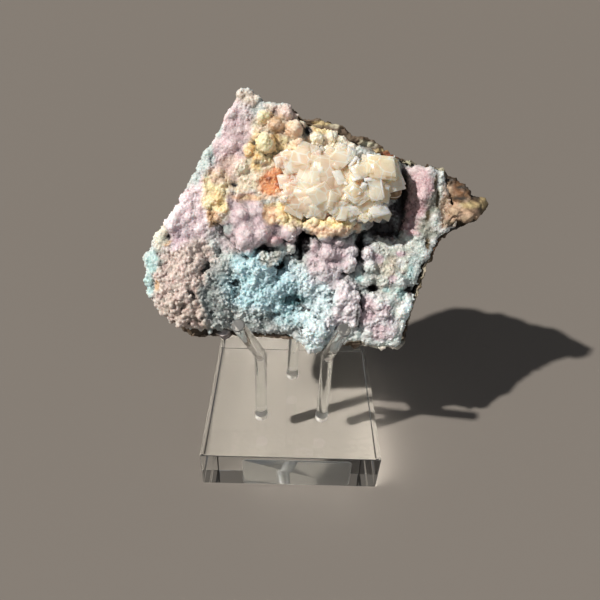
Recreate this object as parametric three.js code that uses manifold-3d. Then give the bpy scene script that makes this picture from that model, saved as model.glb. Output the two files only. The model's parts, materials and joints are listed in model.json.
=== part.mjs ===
// A gibbsite specimen: a botryoidal gibbsite crust with a calcite cluster, grown on a
// slab of limonite matrix, which leans on a clear acrylic stand with three bent pegs.
// Millimetres, +Z up. The origin is the middle of the base's underside, and the crust
// faces -Y. The specimen is drawn in a frame of its own: u runs to the right along the
// slab, v up along it, and w out of its face, with w = 0 at the crust's mean surface.

import * as THREE from "three";
import { mergeVertices } from "three/addons/utils/BufferGeometryUtils.js";
import Module from "manifold-3d";

// Clearance kept between neighbouring pieces
const GAP = 0.3;

// Stand
const BASE_SIDE = 75;
const BASE_HEIGHT = 20;
const BASE_CHAMFER = 0.6;
const PEG_RADIUS = 2.5;
const PEG_SIDES = 12;
const PEG_STEPS = 15;
const PEG_BEND_RADIUS = 7;
const SOCKET_DEPTH = 4;
const ELBOW_HEIGHT = 55.4;
const BACK_PEG_ARM = 28;
const LABEL = { width: 45.5, height: 17.3, corner: 2, thickness: 0.2, x: 2.75, z: 9.4 };

// Lean of the specimen from upright, which is also the lean of the back peg's arm
const LEAN = THREE.MathUtils.degToRad(28);
const UP_THE_SLAB = new THREE.Vector3(0, Math.sin(LEAN), Math.cos(LEAN));
const OUT_OF_FACE = new THREE.Vector3(0, -Math.cos(LEAN), Math.sin(LEAN));

const BACK_FOOT = { x: 0, y: 11 };
const BACK_ELBOW = new THREE.Vector3(BACK_FOOT.x, BACK_FOOT.y, ELBOW_HEIGHT);
const PEGS = {
  peg_front_left: { foot: { x: -13.5, y: -14.3 }, tip: new THREE.Vector3(-20.5, -26.5, 81) },
  peg_front_right: { foot: { x: 13.5, y: -14.3 }, tip: new THREE.Vector3(17.3, -26.5, 80.5) },
  peg_back: { foot: BACK_FOOT, tip: BACK_ELBOW.clone().addScaledVector(UP_THE_SLAB, BACK_PEG_ARM) },
};

// Depths through the specimen, along w
const ROCK_BACK = -22;
const CRUST_BACK = -9;
const CLUSTER_BACK = -0.8;
const ROCK_RIM = -1;

// Outlines in u and v, clockwise from the upper left corner. Both are seen whole from
// the point HEART, and their levels are scaled about it.
const HEART = { u: 0, v: 40 };
const CRUST_OUTLINE = [
  [-23, 88], [-20, 88], [-16, 86.5], [-15.5, 84], [-11, 84.2], [-5, 83.3], [-3.5, 80.5],
  [0, 77.5], [5, 75.5], [12, 74.5], [17, 71.5], [24, 69], [30, 66.8], [37, 65.5],
  [42, 63.5], [45, 64], [50, 62.5], [53.5, 60.5], [55.5, 57], [58, 53], [58.5, 50],
  [60, 47], [60.5, 42.5], [57, 39.5], [54.5, 38], [52.5, 35], [51, 31], [49.5, 28],
  [48, 26], [48, 24], [47, 21], [46.5, 17], [45.5, 13], [45, 9], [44, 6], [43, 2],
  [42.5, -1], [42, -4], [41, -5.5], [35, -6], [30, -5.5], [27, -4], [22, -4.5],
  [14, -6], [10, -8.5], [8, -9.2], [6, -7], [4, -5], [1, -3], [-5, -2], [-10, -2],
  [-16, -1.5], [-24, -1], [-28, -0.5], [-33, 1], [-38, 0.8], [-42, 0.8], [-46.5, 2.5],
  [-48.5, 4], [-51, 6.3], [-53.5, 8.5], [-55.5, 10.5], [-56.8, 12], [-57.5, 18],
  [-58, 22], [-59.2, 26], [-57.5, 28], [-55.2, 29.8], [-55, 32.5], [-53.5, 36],
  [-50, 40], [-47, 43.5], [-45, 46], [-43.5, 50], [-42, 53], [-40.5, 56.5], [-38, 60],
  [-37, 64], [-34.5, 67], [-32.5, 70.5], [-30, 75], [-28, 79], [-26, 83], [-24, 86.5],
];
const ROCK_OUTLINE = [
  [-22, 86], [-17, 85], [-14, 82.5], [-8, 83], [-3, 83], [0, 80.5], [6, 78.5], [12, 78.3],
  [16, 77.5], [20, 74.8], [26, 73.2], [31, 70.8], [36, 68.4], [42, 65.6], [46, 64],
  [51, 64], [54, 64.3], [56.5, 61.2], [61, 57.4], [65, 54.4], [70, 53], [72, 50.7],
  [71.8, 48.4], [70, 45], [67, 43], [64, 41.8], [60, 40.2], [57.2, 38], [55.5, 36],
  [54.6, 33], [53.3, 30], [51.6, 27], [51.2, 24], [50.2, 21], [49.6, 17], [48.6, 14],
  [48, 10.5], [46.6, 7], [45.6, 3], [45, 0], [44.8, -4], [43.4, -7.4], [38, -7.6],
  [30, -7.2], [25, -7], [20, -6.4], [14, -6], [6, -5], [-4, -5], [-12, -5], [-20, -4.6],
  [-28, -4.8], [-34, -4.8], [-38, -6], [-41, -5.6], [-44.5, -3], [-47.5, 0.5], [-50, 4],
  [-53, 9], [-54.5, 13], [-55, 18], [-56, 24], [-54.5, 28], [-53, 32], [-50, 37],
  [-46, 42], [-42.5, 48], [-40, 54], [-36.5, 60], [-34, 65], [-30, 72], [-27, 79], [-24, 85],
];
// Size of the faces of the crust's and the rock's relief
const CRUST_CELL = 1.9;
const ROCK_CELL = 9;
// [w, scale about HEART] of each level of an outline, from the back to the front
const CRUST_LEVELS = [[CRUST_BACK, 0.97], [-1, 1], [20, 0.99]];
const ROCK_LEVELS = [[-27, 0.88], [-17, 0.98], [-9, 1.005], [6, 0.99]];

// Broad swells and hollows of the crust: [u, v, reach along u, reach along v, height]
const CRUST_SWELLS = [
  [2.5, 34, 4.5, 7, -8], [39, 47, 7, 12, -6.5], [-25, 17, 4, 4, -5], [-7, 24, 3.5, 5, -5],
  [-9, 4.5, 6, 3, -4], [-28, 36, 4, 4, -3.5], [44.3, 16, 3, 3, -4], [24, 33, 2.5, 7, -5],
  [30, 17, 3, 2, -3.5], [-15, 30, 5, 2, -3], [1, 11, 7, 4, -3.5], [23, 9, 1.5, 7, -3],
  [-36, 21, 1.8, 8, -2], [-19, 37, 9, 8, 3.5], [-7, 38, 6, 4, 2.5], [12, 28, 8, 9, 3],
  [-43, 13, 9, 13, 2.5], [-14, 18, 8, 8, 2], [8, 1, 5, 6, 3], [19, 9, 4, 7, 2.5],
  [-6, 73, 12, 7, 2], [-16, 57, 10, 7, 1.5], [-30, 50, 5, 8, 1], [8, 41, 14, 3, 3],
  [52, 50, 6, 8, 1.5], [35, 5, 8, 8, 0.5], [-45, 37, 7, 6, 1],
];
const CRUST_THINNEST = 1.4;

// How deep a lump is sunk into the surface, as a share of its radius
const LUMP_SINK = 0.25;
// Large lumps of the crust: [u, v, radius]
const NAMED_LUMPS = [
  // The smooth lavender mass left of the middle
  [-19, 35, 6.5], [-25, 37.5, 4], [-13.5, 37.5, 4.5], [-10, 34.5, 3.6], [-4, 37.5, 3.4],
  [-1.5, 40.5, 2.6], [-22, 42, 5], [-16, 44.5, 4.5], [-11, 43.5, 3.2], [-27.5, 43, 3.5],
  [-13, 28.5, 2.2], [-9, 28, 2.2], [-4, 31, 2.4], [-16.5, 30.5, 3],
  // Yellow and peach domes above the calcite, and the rim below it
  [-14, 79, 2.8], [-10, 76, 3.2], [-3, 75, 3.6], [-13, 69.5, 3.6], [-19, 67, 2.6],
  [-16, 64, 2.6], [-1, 70, 3], [5, 72.5, 2.6], [-6, 80, 3.2], [-22, 61, 3], [-7, 44, 3.2],
  [-3, 43.5, 2.8], [1.5, 43.8, 2.6], [6.5, 40.5, 3.2], [11, 39.5, 3.4], [15.5, 39.5, 3],
  [19, 41.5, 2.4], [22.5, 40.5, 2], [26, 42, 1.8],
  // The pink column right of the middle
  [7, 33, 3.2], [12, 30, 2.8], [15, 34, 2.6], [11, 24, 2.8], [16, 26, 2.6], [6, 27, 2.6],
  [18.5, 31, 2.4], [11, 35, 2.4], [14, 21, 2.4], [7, 22, 2.2], [21.5, 31.5, 1.9],
  [20.5, 26.5, 2], [27, 30, 2], [28, 25.5, 2], [27, 20, 1.8], [24, 21.5, 2.2],
  // Pale lumps at the lower right
  [19, 13, 3.6], [21, 8.5, 3.2], [18, 17, 2.6], [22, 4, 2.8], [16, 8, 2.6], [8, 0, 4.5],
  [5, 4, 3.2], [12, 3, 3.2], [9, -4.5, 3.2], [10, 9, 2.8], [4, 14, 2.4],
  // The blue coralloid field
  [-16, 25, 3.2], [-21, 23, 2.6], [-12, 22, 2.6], [-8, 17, 3], [-13, 14, 2.8], [-17, 18, 2.6],
  [-3, 20, 2.4], [3, 18, 2.4], [-19, 9, 2.6], [-14, 8, 2.4], [-7, 10, 2.4], [-24, 26, 2.4],
];
// Fields of small lumps: an ellipse in u and v, the spacing in it and the lumps' radii
const LUMP_FIELDS = [
  { u: -44, v: 15, reachU: 10, reachV: 14.5, spacing: 6, smallest: 2.6, largest: 3.3 },
  { u: -46, v: 37, reachU: 6, reachV: 8, spacing: 7, smallest: 2.6, largest: 3.3 },
  { u: -30, v: 14, reachU: 4, reachV: 12, spacing: 6, smallest: 2.2, largest: 2.8 },
  { u: 38, v: 13, reachU: 8, reachV: 18, spacing: 7, smallest: 2.4, largest: 3.2 },
  { u: 48, v: 51, reachU: 5, reachV: 9, spacing: 7.5, smallest: 2.6, largest: 3.2 },
  { u: -27, v: 68, reachU: 4, reachV: 14, spacing: 7.5, smallest: 2.4, largest: 3 },
  { u: -34, v: 49, reachU: 4, reachV: 7, spacing: 7, smallest: 2.4, largest: 3 },
];
// Rounded knobs and ledges of bare matrix: [u, v, w, radius]
const ROCK_KNOBS = [
  [61, 54.5, -1.5, 4], [65.5, 49, -1.5, 4.2], [69.5, 48.8, -3, 3], [58.5, 58, -2.5, 3],
  [40.5, -4.5, -2, 2.6], [24, -6, -4, 2.4], [10, 77.5, -5, 2.6], [17, 74.5, -5, 2.6],
  [24, 71.8, -5.5, 2.4], [-40, -3.5, -8, 3], [-31, -3, -8, 2.6],
];

// Calcite rhombs, in the slab's frame: their middle, their edges, and their turns in
// degrees about w, u and v
const CALCITE_SHEAR = Math.tan(THREE.MathUtils.degToRad(15));
const CALCITE_RHOMBS = [
  { at: [14, 57, 1], edges: [30, 14, 12], turns: [-6, 0, 0] },
  { at: [0, 61, 0.5], edges: [14, 12, 11], turns: [12, 10, -8] },
  { at: [2.5, 51.5, 0.5], edges: [15, 11, 12], turns: [-14, -10, 6] },
  { at: [9.5, 60, 1.5], edges: [12, 13, 13], turns: [24, 6, 12] },
  { at: [14, 64.5, 1], edges: [8, 8, 12], turns: [40, -12, 8] },
  { at: [-4, 56.5, 0], edges: [9, 9, 9], turns: [35, 8, 6] },
  { at: [8.5, 49.5, 1.5], edges: [12, 9, 12], turns: [5, -12, -6] },
  { at: [15, 53.5, 2.5], edges: [9, 12, 13], turns: [30, 5, 15] },
  { at: [20.5, 54.5, 4.5], edges: [9.5, 9.5, 13], turns: [38, -12, 10] },
  { at: [21.5, 60.5, 3], edges: [10, 9, 13], turns: [20, 12, -8] },
  { at: [30.5, 58, 3.5], edges: [10, 12, 14], turns: [4, 8, 10] },
  { at: [27, 51, 4], edges: [9, 8.5, 12], turns: [50, -12, -10] },
  { at: [28, 46.5, 4], edges: [11, 5.5, 8], turns: [-18, -15, 12] },
  { at: [18.5, 47.5, 2], edges: [11, 7, 10], turns: [-8, -15, 5] },
  { at: [34.5, 54.5, 4.5], edges: [5.5, 6, 7], turns: [30, 10, 20] },
  { at: [24.5, 62.5, 1.5], edges: [11, 6, 10], turns: [-5, 14, 0] },
];

const wasm = await Module();
wasm.setup();

// A closed three.js geometry as a solid that can be cut and joined
function solidOf(geometry) {
  geometry.deleteAttribute("normal");
  geometry.deleteAttribute("uv");
  const merged = mergeVertices(geometry, 1e-4);
  return new wasm.Manifold(
    new wasm.Mesh({
      numProp: 3,
      vertProperties: merged.attributes.position.array,
      triVerts: merged.index.array,
    }),
  );
}

function pieceOf(name, solid, look) {
  const { vertProperties, triVerts } = solid.getMesh();
  const geometry = new THREE.BufferGeometry();
  geometry.setAttribute("position", new THREE.BufferAttribute(vertProperties, 3));
  geometry.setIndex(new THREE.BufferAttribute(triVerts, 1));
  geometry.computeVertexNormals();
  const piece = new THREE.Mesh(geometry, new THREE.MeshStandardMaterial(look));
  piece.name = name;
  return piece;
}

function join(solids) {
  return solids.reduce((whole, solid) => whole.add(solid));
}

// Repeatable random numbers from 0 to 1
function seeded(seed) {
  let state = seed;
  return () => {
    state = (state * 16807) % 2147483647;
    return state / 2147483647;
  };
}

// A smooth uneven field from about -1 to 1, for broken and weathered surfaces
function unevenness(u, v, wavelength) {
  const k = (2 * Math.PI) / wavelength;
  const first = Math.sin(k * u + 1.7 * Math.sin(0.61 * k * v));
  const second = Math.cos(k * 0.83 * v + 1.3 * Math.sin(0.47 * k * u));
  const third = Math.sin(1.9 * k * (u - 0.6 * v));
  return (first + second + 0.6 * third) / 2.6;
}

// Stand

function baseBlock() {
  const half = BASE_SIDE / 2 - BASE_CHAMFER;
  const square = new THREE.Shape([
    new THREE.Vector2(-half, -half),
    new THREE.Vector2(half, -half),
    new THREE.Vector2(half, half),
    new THREE.Vector2(-half, half),
  ]);
  const block = new THREE.ExtrudeGeometry(square, {
    depth: BASE_HEIGHT - 2 * BASE_CHAMFER,
    bevelThickness: BASE_CHAMFER,
    bevelSize: BASE_CHAMFER,
    bevelSegments: 1,
  }).translate(0, 0, BASE_CHAMFER);
  const sockets = Object.values(PEGS).map(({ foot }) => {
    const depth = SOCKET_DEPTH + GAP;
    const overlap = 1;
    const hole = new THREE.CylinderGeometry(
      PEG_RADIUS + GAP, PEG_RADIUS + GAP, depth + overlap, PEG_SIDES,
    );
    hole.rotateX(Math.PI / 2);
    hole.translate(foot.x, foot.y, BASE_HEIGHT - depth + (depth + overlap) / 2);
    return solidOf(hole);
  });
  return solidOf(block).subtract(join(sockets));
}

// One heat-bent peg: upright from its socket to the elbow, then leaning to its tip
function peg({ foot, tip }, radius) {
  const bottom = new THREE.Vector3(foot.x, foot.y, BASE_HEIGHT - SOCKET_DEPTH);
  const corner = new THREE.Vector3(foot.x, foot.y, ELBOW_HEIGHT);
  const arm = tip.clone().sub(corner).normalize();
  const halfBend = arm.angleTo(new THREE.Vector3(0, 0, 1)) / 2;
  const trim = PEG_BEND_RADIUS * Math.tan(halfBend);
  const bendStart = corner.clone().setZ(ELBOW_HEIGHT - trim);
  const bendEnd = corner.clone().addScaledVector(arm, trim);
  const axis = new THREE.CurvePath();
  axis.add(new THREE.LineCurve3(bottom, bendStart));
  axis.add(new THREE.QuadraticBezierCurve3(bendStart, corner, bendEnd));
  axis.add(new THREE.LineCurve3(bendEnd, tip));
  const section = new THREE.Shape();
  section.absarc(0, 0, radius, 0, 2 * Math.PI);
  return solidOf(
    new THREE.ExtrudeGeometry(section, {
      steps: PEG_STEPS,
      curveSegments: PEG_SIDES / 2,
      extrudePath: axis,
    }),
  );
}

// A clear rectangular sticker with round corners, on the base's front face
function label() {
  const { width, height, corner, thickness, x, z } = LABEL;
  const right = width / 2;
  const top = height / 2;
  const outline = new THREE.Shape();
  outline.absarc(right - corner, top - corner, corner, 0, Math.PI / 2);
  outline.absarc(corner - right, top - corner, corner, Math.PI / 2, Math.PI);
  outline.absarc(corner - right, corner - top, corner, Math.PI, 1.5 * Math.PI);
  outline.absarc(right - corner, corner - top, corner, 1.5 * Math.PI, 2 * Math.PI);
  outline.closePath();
  const sheet = new THREE.ExtrudeGeometry(outline, {
    depth: thickness,
    bevelEnabled: false,
    curveSegments: 2,
  });
  sheet.rotateX(Math.PI / 2);
  sheet.translate(x, -BASE_SIDE / 2 - GAP, z);
  return solidOf(sheet);
}

// Specimen

// The walled solid of an outline: one ring of points for each level, broken unevenly
function outlineSolid(outline, levels, margin, roughness) {
  const geometry = new THREE.CylinderGeometry(1, 1, 1, outline.length, levels.length - 1);
  const position = geometry.attributes.position;
  for (let i = 0; i < position.count; i++) {
    const onAxis = Math.hypot(position.getX(i), position.getZ(i)) < 1e-6;
    const level = Math.round((position.getY(i) + 0.5) * (levels.length - 1));
    const [w, scale] = levels[level];
    if (onAxis) {
      position.setXYZ(i, HEART.u, HEART.v, w);
      continue;
    }
    const turn = Math.atan2(position.getX(i), position.getZ(i)) / (2 * Math.PI);
    const index = Math.round(turn * outline.length + outline.length) % outline.length;
    const [u, v] = outline[outline.length - 1 - index];
    const out = Math.hypot(u - HEART.u, v - HEART.v);
    const broken = roughness * unevenness(u + 3 * w, v - 2 * w, 13);
    const reach = scale + (margin + broken) / out;
    position.setXYZ(i, HEART.u + (u - HEART.u) * reach, HEART.v + (v - HEART.v) * reach, w);
  }
  return solidOf(geometry);
}

// A block with an uneven front and back, wider than the specimen
function reliefBlock(cell, frontAt, backAt) {
  const width = 150;
  const height = 116;
  const middle = { u: 5, v: 38 };
  const across = Math.round(width / cell);
  const along = Math.round(height / cell);
  const geometry = new THREE.BoxGeometry(width, height, 1, across, along, 1);
  geometry.translate(middle.u, middle.v, 0);
  const position = geometry.attributes.position;
  for (let i = 0; i < position.count; i++) {
    const u = position.getX(i);
    const v = position.getY(i);
    position.setZ(i, position.getZ(i) > 0 ? frontAt(u, v) : backAt(u, v));
  }
  return solidOf(geometry);
}

// The crust's surface under its lumps
function swellHeight(u, v) {
  const swell = CRUST_SWELLS.reduce((sum, [atU, atV, reachU, reachV, height]) => {
    const away = ((u - atU) / reachU) ** 2 + ((v - atV) / reachV) ** 2;
    return sum + height * Math.exp(-away);
  }, 0);
  return Math.max(swell + 0.5 * unevenness(u, v, 17), CRUST_BACK + CRUST_THINNEST);
}

// A rounded knob of matrix, a little longer one way
function knob([u, v, w, radius]) {
  const geometry = new THREE.SphereGeometry(radius, 7, 5);
  geometry.scale(1.1, 0.95, 0.95);
  geometry.rotateZ(u);
  geometry.translate(u, v, w);
  return solidOf(geometry);
}

// The lumps of every field, on a jittered triangular grid: [u, v, radius]
function fieldLumps() {
  const random = seeded(7);
  const lumps = [];
  LUMP_FIELDS.forEach(({ u, v, reachU, reachV, spacing, smallest, largest }) => {
    const rowStep = spacing * Math.sqrt(0.75);
    const rows = Math.floor(reachV / rowStep);
    const columns = Math.ceil(reachU / spacing);
    const jitter = 0.5 * spacing;
    for (let row = -rows; row <= rows; row++) {
      for (let column = -columns; column <= columns; column++) {
        const shift = row % 2 ? 0.5 : 0;
        const atU = u + (column + shift) * spacing + jitter * (random() - 0.5);
        const atV = v + row * rowStep + jitter * (random() - 0.5);
        const radius = smallest + (largest - smallest) * random();
        if (Math.hypot((atU - u) / reachU, (atV - v) / reachV) < 1) lumps.push([atU, atV, radius]);
      }
    }
  });
  return lumps;
}

// Every lump of the crust as a ball sunk a little into the surface: [u, v, w, radius]
const LUMPS = [...NAMED_LUMPS, ...fieldLumps()].map(([u, v, radius]) => [
  u, v, swellHeight(u, v) - LUMP_SINK * radius, radius,
]);

function crustHeight(u, v) {
  return LUMPS.reduce((highest, [atU, atV, atW, radius]) => {
    const away = Math.hypot(u - atU, v - atV);
    if (away >= radius) return highest;
    return Math.max(highest, atW + Math.sqrt(radius ** 2 - away ** 2));
  }, swellHeight(u, v));
}

function calciteRhomb({ at, edges, turns }, margin) {
  const [width, height, depth] = edges.map((edge) => edge + 2 * margin);
  const [aboutW, aboutU, aboutV] = turns.map(THREE.MathUtils.degToRad);
  const rhomb = new THREE.BoxGeometry(width, height, depth);
  rhomb.applyMatrix4(new THREE.Matrix4().makeShear(0, 0, CALCITE_SHEAR, 0, 0, 0));
  rhomb.rotateX(aboutU);
  rhomb.rotateY(aboutV);
  rhomb.rotateZ(aboutW);
  rhomb.translate(...at);
  return solidOf(rhomb);
}

// Everything in front of a plane across w
function inFrontOf(w) {
  const depth = 60;
  return solidOf(new THREE.BoxGeometry(200, 200, depth).translate(0, HEART.v, w + depth / 2));
}

function calciteCluster(margin) {
  const rhombs = CALCITE_RHOMBS.map((rhomb) => calciteRhomb(rhomb, margin));
  return join(rhombs).intersect(inFrontOf(CLUSTER_BACK - margin));
}

function crustSolid() {
  const relief = reliefBlock(CRUST_CELL, crustHeight, () => ROCK_BACK);
  const walls = outlineSolid(CRUST_OUTLINE, CRUST_LEVELS, 0, 0.3);
  return relief.intersect(walls).subtract(calciteCluster(GAP));
}

function rockSolid() {
  const front = (u, v) => ROCK_RIM + 1.2 * unevenness(u, v, 9);
  const back = (u, v) => {
    const besidePeg = Math.exp(-((u / 9) ** 2));
    const broken = 1.3 + 1.6 * unevenness(u, v, 24) + 0.8 * unevenness(v, u, 9);
    const thinning = 6 * (u / 60) ** 2 + 5 * (Math.max(v - 35, 0) / 50) ** 2;
    return ROCK_BACK + (broken + thinning) * (1 - besidePeg);
  };
  const walls = outlineSolid(ROCK_OUTLINE, ROCK_LEVELS, 0, 0.8);
  const slab = reliefBlock(ROCK_CELL, front, back).intersect(walls);
  const knobs = ROCK_KNOBS.map(knob);
  const pocketLevels = [[CRUST_BACK - GAP, 1], [40, 1]];
  const pocket = outlineSolid(CRUST_OUTLINE, pocketLevels, 2 * GAP, 0);
  return slab.add(join(knobs)).subtract(pocket);
}

// Assembly

const part = new THREE.Group();
part.name = "gibbsite_specimen";

const specimen = new THREE.Group();
specimen.position
  .copy(BACK_ELBOW)
  .addScaledVector(OUT_OF_FACE, PEG_RADIUS + GAP - ROCK_BACK);
specimen.rotation.x = Math.PI / 2 - LEAN;
specimen.updateMatrixWorld();
part.add(specimen);

// The pegs as the specimen sees them, with the clearance that keeps it off them
const intoSlab = specimen.matrixWorld.clone().invert().elements;
const pegRoom = join(
  Object.values(PEGS).map((bend) => peg(bend, PEG_RADIUS + GAP)),
).transform(intoSlab);

const ACRYLIC = { color: 0xe8eceb, roughness: 0.04, metalness: 0, transparent: true, opacity: 0.45 };
const LOOKS = {
  matrix: { color: 0x6b5a41, roughness: 0.9, metalness: 0, flatShading: true },
  crust: { color: 0xc9b4bd, roughness: 0.6, metalness: 0, flatShading: true },
  calcite: { color: 0xf1e1c7, roughness: 0.2, metalness: 0, flatShading: true },
  label: { color: 0xdde0df, roughness: 0.3, metalness: 0, transparent: true, opacity: 0.5 },
};

specimen.add(
  pieceOf("matrix_rock", rockSolid().subtract(pegRoom), LOOKS.matrix),
  pieceOf("gibbsite_crust", crustSolid().subtract(pegRoom), LOOKS.crust),
  pieceOf("calcite_cluster", calciteCluster(0), LOOKS.calcite),
);
part.add(pieceOf("stand_base", baseBlock(), ACRYLIC));
Object.entries(PEGS).forEach(([name, bend]) => {
  part.add(pieceOf(name, peg(bend, PEG_RADIUS), ACRYLIC));
});
part.add(pieceOf("label", label(), LOOKS.label));

export default part;
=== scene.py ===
"""A gibbsite specimen leaning on a clear acrylic block with three bent clear pegs.

Metres, +Z up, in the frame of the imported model: its origin is the middle of the block's
underside and the crust faces -Y. The specimen's own sizes are in millimetres in the slab's
frame: u to the right along the slab, v up along it, and w out of its face.
"""

import json
import math

import bpy
import numpy as np
from mathutils import Matrix, Vector
from mathutils.bvhtree import BVHTree

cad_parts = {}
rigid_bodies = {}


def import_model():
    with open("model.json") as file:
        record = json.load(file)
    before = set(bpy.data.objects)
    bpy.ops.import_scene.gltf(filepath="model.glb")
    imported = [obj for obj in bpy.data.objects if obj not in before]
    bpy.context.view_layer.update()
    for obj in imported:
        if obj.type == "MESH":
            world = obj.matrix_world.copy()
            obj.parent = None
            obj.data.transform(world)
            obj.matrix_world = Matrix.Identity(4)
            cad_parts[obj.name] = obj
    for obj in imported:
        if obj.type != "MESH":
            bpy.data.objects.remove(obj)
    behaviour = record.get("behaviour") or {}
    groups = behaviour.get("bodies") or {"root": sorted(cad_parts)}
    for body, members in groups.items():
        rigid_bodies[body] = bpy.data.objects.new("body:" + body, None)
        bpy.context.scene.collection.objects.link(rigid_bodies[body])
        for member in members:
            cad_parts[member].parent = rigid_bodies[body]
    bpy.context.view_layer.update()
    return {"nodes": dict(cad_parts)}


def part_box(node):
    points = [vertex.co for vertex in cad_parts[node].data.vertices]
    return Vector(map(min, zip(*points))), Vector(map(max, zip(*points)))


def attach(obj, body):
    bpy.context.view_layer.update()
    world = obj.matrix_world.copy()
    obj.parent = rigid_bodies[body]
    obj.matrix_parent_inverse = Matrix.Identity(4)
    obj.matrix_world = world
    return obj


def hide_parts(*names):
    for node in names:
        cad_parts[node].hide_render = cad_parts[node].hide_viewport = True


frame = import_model()
bpy.ops.object.select_all(action="DESELECT")

# The camera stands where the picture was taken: close above the front of the stand, looking
# down at the crust's face, with a phone's wide lens.
MM = 0.001
CAMERA_PLACE = Vector((-2.441, -162.699, 197.672)) * MM
LOOK_DOWN = math.radians(37.506)
TURN_RIGHT = math.radians(1.459)
ROLL = math.radians(2.691)
bpy.ops.object.camera_add()
camera = bpy.context.object
camera.data.lens = 30.347
camera.data.sensor_width = 36.0
camera.data.clip_start = 0.01
camera.matrix_world = (
    Matrix.Translation(CAMERA_PLACE)
    @ Matrix.Rotation(-TURN_RIGHT, 4, "Z")
    @ Matrix.Rotation(math.pi / 2 - LOOK_DOWN, 4, "X")
    @ Matrix.Rotation(ROLL, 4, "Z")
)
bpy.context.scene.camera = camera

# The block is one piece of clear cast acrylic, sawn, drilled with three blind sockets, and
# flame polished, so that its edges are just rounded.
SOCKET_RADIUS = 2.8 * MM
SOCKET_DEPTH = 4.3 * MM
DRILL_OVERLAP = 1 * MM
EDGE_ROUND = 0.6 * MM
# Where each peg's middle line meets the table's plane, and the middle of its tip
PEGS = {
    "peg_front_left": (Vector((-13.5, -14.3, 0)) * MM, Vector((-20.5, -26.5, 81)) * MM),
    "peg_front_right": (Vector((13.5, -14.3, 0)) * MM, Vector((17.3, -26.5, 80.5)) * MM),
    "peg_back": (Vector((0, 11, 0)) * MM, Vector((0, 24.15, 80.12)) * MM),
}


def pick(piece):
    bpy.ops.object.select_all(action="DESELECT")
    piece.select_set(True)
    bpy.context.view_layer.objects.active = piece


def finish_mesh(piece, smooth_angle=35):
    """Puts the piece's place into its mesh and smooths its round faces."""
    pick(piece)
    bpy.ops.object.transform_apply(location=True, rotation=True, scale=True)
    bpy.ops.object.shade_smooth_by_angle(angle=math.radians(smooth_angle))


def apply_modifier(piece, kind, **settings):
    pick(piece)
    modifier = piece.modifiers.new(kind.lower(), kind)
    for name, value in settings.items():
        setattr(modifier, name, value)
    bpy.ops.object.modifier_apply(modifier=modifier.name)


def colour(hex_code):
    """A colour as a shader wants it, from the way it looks on screen."""
    parts = [int(hex_code[i : i + 2], 16) / 255 for i in (1, 3, 5)]
    return [c / 12.92 if c < 0.04045 else ((c + 0.055) / 1.055) ** 2.4 for c in parts] + [1.0]


def new_material(name):
    material = bpy.data.materials.new(name)
    material.use_nodes = True
    tree = material.node_tree
    shader = tree.nodes["Principled BSDF"]
    return material, tree, shader


def add_node(tree, kind, **settings):
    node = tree.nodes.new(kind)
    for name, value in settings.items():
        if name in node.inputs:
            node.inputs[name].default_value = value
        else:
            setattr(node, name, value)
    return node


def wire(tree, source, output, target, entry):
    tree.links.new(source.outputs[output], target.inputs[entry])


def set_sockets(node, values):
    for name, value in values.items():
        node.inputs[name].default_value = value


def texture(tree, kind, **settings):
    """A texture on the piece's Object coordinates."""
    node = add_node(tree, "ShaderNodeTex" + kind, **settings)
    wire(tree, add_node(tree, "ShaderNodeTexCoord"), "Object", node, "Vector")
    return node


def spread(tree, source, output, low, high, at_low, at_high):
    """Carries a texture's values between low and high over to a range of a socket's values."""
    node = add_node(tree, "ShaderNodeMapRange")
    limits = {"From Min": low, "From Max": high, "To Min": at_low, "To Max": at_high}
    set_sockets(node, limits)
    wire(tree, source, output, node, "Value")
    return node


def roughen(tree, shader, height, output, strength, distance):
    bump = add_node(tree, "ShaderNodeBump", Strength=strength, Distance=distance)
    wire(tree, height, output, bump, "Height")
    wire(tree, bump, "Normal", shader, "Normal")


def polished_acrylic():
    material, tree, shader = new_material("clear_acrylic")
    set_sockets(
        shader, {"Base Color": colour("#fafcfb"), "Transmission Weight": 1.0, "IOR": 1.49}
    )
    smears = texture(tree, "Noise", Scale=60.0, Detail=4.0)
    handled = spread(tree, smears, "Fac", 0.45, 0.75, 0.0, 0.06)
    wire(tree, handled, "Result", shader, "Roughness")
    return material


def sawn_acrylic():
    """The milky look of acrylic that is sawn or drilled and not polished."""
    material, tree, shader = new_material("sawn_acrylic")
    set_sockets(shader, {"Base Color": colour("#f6f6f4"), "Transmission Weight": 0.85})
    set_sockets(shader, {"IOR": 1.49, "Roughness": 0.3})
    rings = texture(tree, "Noise", Scale=1400.0, Detail=3.0)
    roughen(tree, shader, rings, "Fac", 0.4, 0.1 * MM)
    return material


acrylic = polished_acrylic()
sawn = sawn_acrylic()
block_low, block_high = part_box("stand_base")
bpy.ops.mesh.primitive_cube_add(
    size=1, location=(block_low + block_high) / 2, scale=block_high - block_low
)
block = bpy.context.object
block.name = "acrylic_block"
finish_mesh(block)
apply_modifier(block, "BEVEL", width=EDGE_ROUND, segments=3)
for foot, tip in PEGS.values():
    bpy.ops.mesh.primitive_cylinder_add(
        vertices=40,
        radius=SOCKET_RADIUS,
        depth=SOCKET_DEPTH + DRILL_OVERLAP,
        location=(foot.x, foot.y, block_high.z + (DRILL_OVERLAP - SOCKET_DEPTH) / 2),
    )
    drill = bpy.context.object
    apply_modifier(block, "BOOLEAN", object=drill, operation="DIFFERENCE", solver="EXACT")
    bpy.data.objects.remove(drill)
finish_mesh(block)
block.data.materials.append(acrylic)
block.data.materials.append(sawn)
for face in block.data.polygons:
    inside = all(abs(face.center[k]) < block_high[k] - 3 * MM for k in (0, 1))
    below = -SOCKET_DEPTH - 0.1 * MM < face.center.z - block_high.z < -0.1 * MM
    face.material_index = 1 if inside and below else 0
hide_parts("stand_base")
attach(block, "root")

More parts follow.
